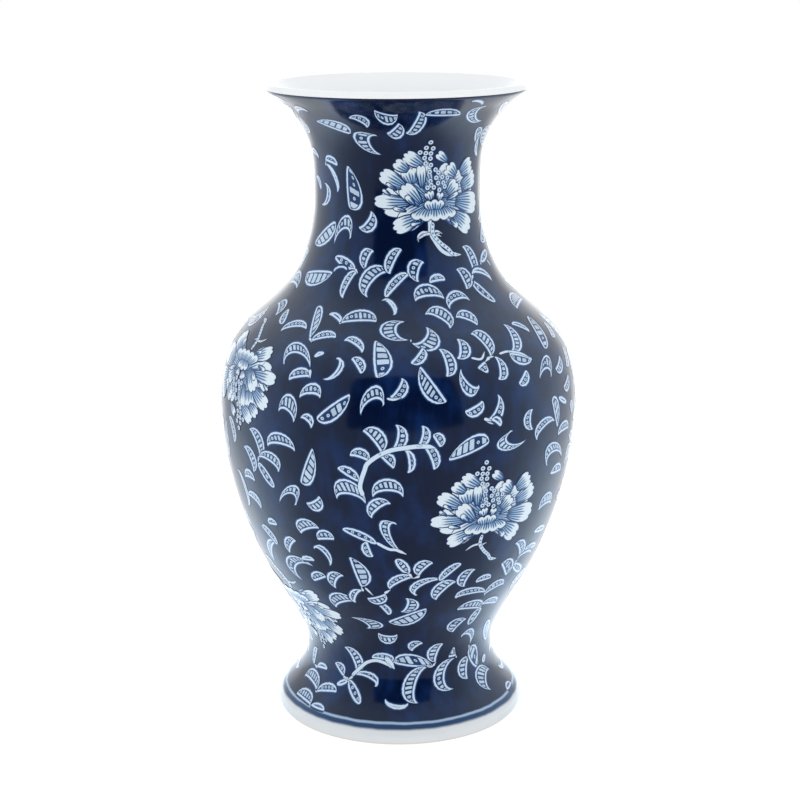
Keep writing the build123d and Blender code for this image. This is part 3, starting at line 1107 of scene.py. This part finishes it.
def build_grounds():
    """The cobalt in three pieces, and the lined band at the foot."""
    plain = cobalt_ground()
    lined = lined_glaze()
    lip = FINE[-1][1]
    for name, low, high, material in (
        ("lower_ground", BAND_TOP, SPLIT_LOW, lined),
        ("belly_ground", SPLIT_LOW, SPLIT_HIGH, plain),
        ("neck_ground", SPLIT_HIGH, lip, plain),
    ):
        profile = ground_profile(low, high)
        if high == lip:
            profile += [tuple(at) for at in roll(ROLL_STEP, COBALT_CLIMB)]
        piece(turned(profile), name, [material], ["cobalt_glaze"])
    rows = [row[:2] for row in skin(BAND_CELL) if row[1] < BAND_TOP - 0.2]
    band = [BAND_EDGE, *rows, (BAND_RADIUS, BAND_TOP)]
    piece(turned(band), "foot_band", [lined], ["foot_band_glaze"])


def roll(first, last):
    """Points over the lip's roll between two angles, from 0 where the outside ends to 180."""
    out, up = outward(LIP_LEAN), heading(LIP_LEAN)
    points = []
    for angle in range(first, last + 1, ROLL_STEP):
        turn = math.radians(angle)
        points.append(Vector(LIP_CENTRE) + (out * math.cos(turn) + up * math.sin(turn)) * (WALL / 2))
    return points


def inside_profile():
    """Over the lip's roll, down the inside, and in across the floor."""
    crown = roll(COBALT_CLIMB, 180)
    bore = [Vector(row[:2]) - outward(row[2]) * WALL for row in reversed(skin(BORE_CELL)[:-1])]
    bore = [at for at in bore if at.y > FLOOR + 1]
    foot = bore[-1].x + 0.3
    floor = [(radius, FLOOR) for radius in (foot, foot * 0.75, foot * 0.5, foot * 0.25, 0)]
    return [tuple(at) for at in crown + bore] + floor


def build_whites():
    """The clear glaze over the lip, the inside wall and the floor."""
    white = white_glaze("inner_white")
    piece(turned(inside_profile()), "lip_and_inside", [white], ["inner_glaze"])


def dress_cad():
    """Materials for the CAD nodes that are shown as they are."""
    body = biscuit("porcelain_biscuit", (0.78, 0.74, 0.68, 1))
    slip = biscuit("slip_biscuit", (0.74, 0.71, 0.66, 1))
    base = white_glaze("base_white")
    for name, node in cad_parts.items():
        if name.endswith("_slip"):
            wear = slip
        elif name == "base_glaze":
            wear = base
        elif name.endswith("_glaze"):
            continue
        else:
            wear = body
        for i in range(len(node.data.materials)):
            node.data.materials[i] = wear


def build_painting():
    """Every leaf, peony and stem."""
    leaf, petal, seed = leaf_paint(), petal_paint(), seed_paint()
    stem = stem_paint("peony_stem_paint", True)
    taken = painted_places()
    for name, leaves in (
        ("neck_leaves", NECK_LEAVES),
        ("shoulder_leaves", SHOULDER_LEAVES),
        ("belly_leaves", BELLY_LEAVES),
        ("lower_leaves", LOWER_LEAVES),
        ("foot_leaves", FOOT_LEAVES),
    ):
        leaf_film(name, leaves, taken, leaf)
    for name, places in (("neck", PEONIES[:1]), ("belly", PEONIES[1:3]), ("lower", PEONIES[3:])):
        peony_films(name, places, (petal, seed, stem))
    tendril_film("tendrils", STEMS + joints(ALL_LEAVES), stem_paint("tendril_paint", False))


# ---------------------------------------------------------------- studio


AROUND = 0.95  # what matt surfaces get from every side
SCALE = 4.0  # the emitters' strength; their colours hold levels divided by it
# How blue the tent's light is, from behind the camera (-1) round to behind the vase (1)
COOLNESS = [(-1, 0.30), (-0.5, 0.50), (0.17, 0.55), (0.5, 0.35), (0.77, 0.15), (1, 0.0)]
# What shines in the glaze, from behind the camera (-1) round to behind the vase (1)
TENT_SHINE = [(-1, 0.30), (-0.5, 0.49), (-0.17, 0.70), (0.17, 1.0), (0.5, 1.03), (0.77, 1.0), (0.94, 1.65)]
TABLE_SHINE = [(-1, 0.32), (-0.5, 0.55), (-0.17, 1.0), (0.17, 1.35), (0.5, 1.6), (0.77, 1.4), (0.94, 0.9)]
TABLE_RADIUS = 4
TABLE_GREY = (0.35, 0.35, 0.35, 1)
TABLE_LIGHT = 0.78  # lifts the table to white paper
TABLE_NEAR, TABLE_FAR = 0.2, 0.6  # between these the table's reflection becomes the tent's, in metres
# The tent's opening: its left, right, bottom and top, and how far in front of the vase it stands
OPENING_LEFT, OPENING_RIGHT, OPENING_LOW, OPENING_HIGH, OPENING_AWAY = -0.78, 1.05, 0.03, 1.41, 1.3


def between_rows(rows, at):
    """The value at a place in a table of (place, value)."""
    i, part = between([row[0] for row in rows], at)
    return rows[i][1] + (rows[i + 1][1] - rows[i][1]) * part


def flat_light(name, strength):
    """A plain emitter."""
    material = bpy.data.materials.new(name)
    material.use_nodes = True
    tree = material.node_tree
    tree.nodes.clear()
    out = tree.nodes.new("ShaderNodeOutputMaterial")
    light = tree.nodes.new("ShaderNodeEmission")
    light.inputs["Strength"].default_value = strength
    tree.links.new(light.outputs[0], out.inputs["Surface"])
    return material


def cool(level, tint):
    """A grey level with its green and blue raised, at the strength's scale."""
    return (level / SCALE, level * (1 + 0.45 * tint) / SCALE, level * (1 + 0.9 * tint) / SCALE, 1)


def by_depth(tree, depth, levels):
    """Light from how far back a direction points, -1 (to the camera) to 1 (away from it)."""
    part = tree.nodes.new("ShaderNodeMapRange")
    part.inputs["From Min"].default_value = -1
    tree.links.new(depth, part.inputs["Value"])
    ramp = tree.nodes.new("ShaderNodeValToRGB")
    stops = ramp.color_ramp.elements
    while len(stops) < len(levels):
        stops.new(0.5)
    for stop, (at, level) in zip(stops, levels):
        stop.position = (at + 1) / 2
        stop.color = cool(level, between_rows(COOLNESS, at))
    tree.links.new(part.outputs[0], ramp.inputs[0])
    return ramp.outputs["Color"]


def mix_colour(tree, factor, below, above):
    """One colour over another."""
    made = tree.nodes.new("ShaderNodeMix")
    made.data_type = "RGBA"
    tree.links.new(factor, made.inputs["Factor"])
    for socket, value in zip((made.inputs[6], made.inputs[7]), (below, above)):
        if isinstance(value, bpy.types.NodeSocket):
            tree.links.new(value, socket)
        else:
            socket.default_value = value
    return made.outputs[2]


def for_shine(tree, path, shine):
    """This light for glossy rays, and an even one for all others."""
    return mix_colour(tree, path.outputs["Is Glossy Ray"], cool(AROUND, 0), shine)


def table_shine(tree, path):
    """The table's colour for reflections: bright near the foot, and like the tent further out."""
    coords = tree.nodes.new("ShaderNodeTexCoord")
    away = tree.nodes.new("ShaderNodeVectorMath")
    away.operation = "NORMALIZE"
    split = tree.nodes.new("ShaderNodeSeparateXYZ")
    tree.links.new(coords.outputs["Object"], away.inputs[0])
    tree.links.new(away.outputs[0], split.inputs[0])
    close = by_depth(tree, split.outputs["Y"], TABLE_SHINE)
    distant = by_depth(tree, split.outputs["Y"], TENT_SHINE)
    reach = tree.nodes.new("ShaderNodeVectorMath")
    reach.operation = "LENGTH"
    tree.links.new(coords.outputs["Object"], reach.inputs[0])
    fade = tree.nodes.new("ShaderNodeMapRange")
    fade.inputs["From Min"].default_value = TABLE_NEAR
    fade.inputs["From Max"].default_value = TABLE_FAR
    tree.links.new(reach.outputs["Value"], fade.inputs["Value"])
    return for_shine(tree, path, mix_colour(tree, fade.outputs[0], close, distant))


def table_paper():
    """White paper with a faint contact shadow as the camera sees it, and a glow in reflections."""
    material = bpy.data.materials.new("table")
    material.use_nodes = True
    tree = material.node_tree
    tree.nodes.clear()
    out = tree.nodes.new("ShaderNodeOutputMaterial")
    path = tree.nodes.new("ShaderNodeLightPath")
    paper = tree.nodes.new("ShaderNodeBsdfDiffuse")
    paper.inputs["Color"].default_value = TABLE_GREY
    lift = tree.nodes.new("ShaderNodeEmission")
    lift.inputs["Strength"].default_value = TABLE_LIGHT
    both = tree.nodes.new("ShaderNodeAddShader")
    glow = tree.nodes.new("ShaderNodeEmission")
    tree.links.new(table_shine(tree, path), glow.inputs["Color"])
    glow.inputs["Strength"].default_value = SCALE
    pick = tree.nodes.new("ShaderNodeMixShader")
    tree.links.new(paper.outputs[0], both.inputs[0])
    tree.links.new(lift.outputs[0], both.inputs[1])
    tree.links.new(path.outputs["Is Camera Ray"], pick.inputs[0])
    tree.links.new(glow.outputs[0], pick.inputs[1])
    tree.links.new(both.outputs[0], pick.inputs[2])
    tree.links.new(pick.outputs[0], out.inputs["Surface"])
    return material


def studio_object(bm, name, material):
    """An object of the studio from a bmesh."""
    mesh = bpy.data.meshes.new(name)
    bm.to_mesh(mesh)
    bm.free()
    mesh.materials.append(material)
    obj = bpy.data.objects.new(name, mesh)
    bpy.context.scene.collection.objects.link(obj)
    return obj


def build_floor():
    """The table under the vase."""
    bm = bmesh.new()
    bmesh.ops.create_circle(bm, cap_ends=True, segments=96, radius=TABLE_RADIUS)
    floor = studio_object(bm, "table", table_paper())


def build_card():
    """The dark opening of the light tent, where the camera stands: only reflections show it."""
    bm = bmesh.new()
    corners = [
        (OPENING_LEFT, -OPENING_AWAY, OPENING_LOW),
        (OPENING_RIGHT, -OPENING_AWAY, OPENING_LOW),
        (OPENING_RIGHT, -OPENING_AWAY, OPENING_HIGH),
        (OPENING_LEFT, -OPENING_AWAY, OPENING_HIGH),
    ]
    bm.faces.new([bm.verts.new(at) for at in corners])
    card = studio_object(bm, "tent_opening", flat_light("tent_opening", 0.0))
    card.visible_camera = False
    card.visible_diffuse = False
    card.visible_shadow = False


def build_world():
    """White behind the vase; for the glaze, a tent that is dim at the camera and bright behind."""
    world = bpy.data.worlds.new("tent")
    bpy.context.scene.world = world
    world.use_nodes = True
    tree = world.node_tree
    tree.nodes.clear()
    out = tree.nodes.new("ShaderNodeOutputWorld")
    back = tree.nodes.new("ShaderNodeBackground")
    path = tree.nodes.new("ShaderNodeLightPath")
    coords = tree.nodes.new("ShaderNodeTexCoord")
    split = tree.nodes.new("ShaderNodeSeparateXYZ")
    tree.links.new(coords.outputs["Generated"], split.inputs[0])
    lit = for_shine(tree, path, by_depth(tree, split.outputs["Y"], TENT_SHINE))
    seen = mix_colour(tree, path.outputs["Is Camera Ray"], lit, cool(1.0, 0))
    tree.links.new(seen, back.inputs["Color"])
    back.inputs["Strength"].default_value = SCALE
    tree.links.new(back.outputs[0], out.inputs["Surface"])


LENS, SENSOR = 82.0, 36.0  # in mm
SHIFT = 0.00205
CAMERA_AT = (0, -0.995, 0.434)
CAMERA_TILT, CAMERA_ROLL = 75.6, -0.3  # in degrees


def build_camera():
    """The camera, in front of the vase and a little above it, looking down."""
    data = bpy.data.cameras.new("camera")
    data.lens = LENS
    data.sensor_width = SENSOR
    data.shift_x = SHIFT
    camera = bpy.data.objects.new("camera", data)
    bpy.context.scene.collection.objects.link(camera)
    camera.location = CAMERA_AT
    camera.rotation_euler = (math.radians(CAMERA_TILT), 0, 0)
    camera.matrix_world = camera.matrix_basis @ Matrix.Rotation(math.radians(CAMERA_ROLL), 4, "Z")
    bpy.context.scene.camera = camera


build_grounds()
build_whites()
dress_cad()
build_painting()
build_floor()
build_card()
build_world()
build_camera()
bpy.context.scene.view_settings.view_transform = "Standard"
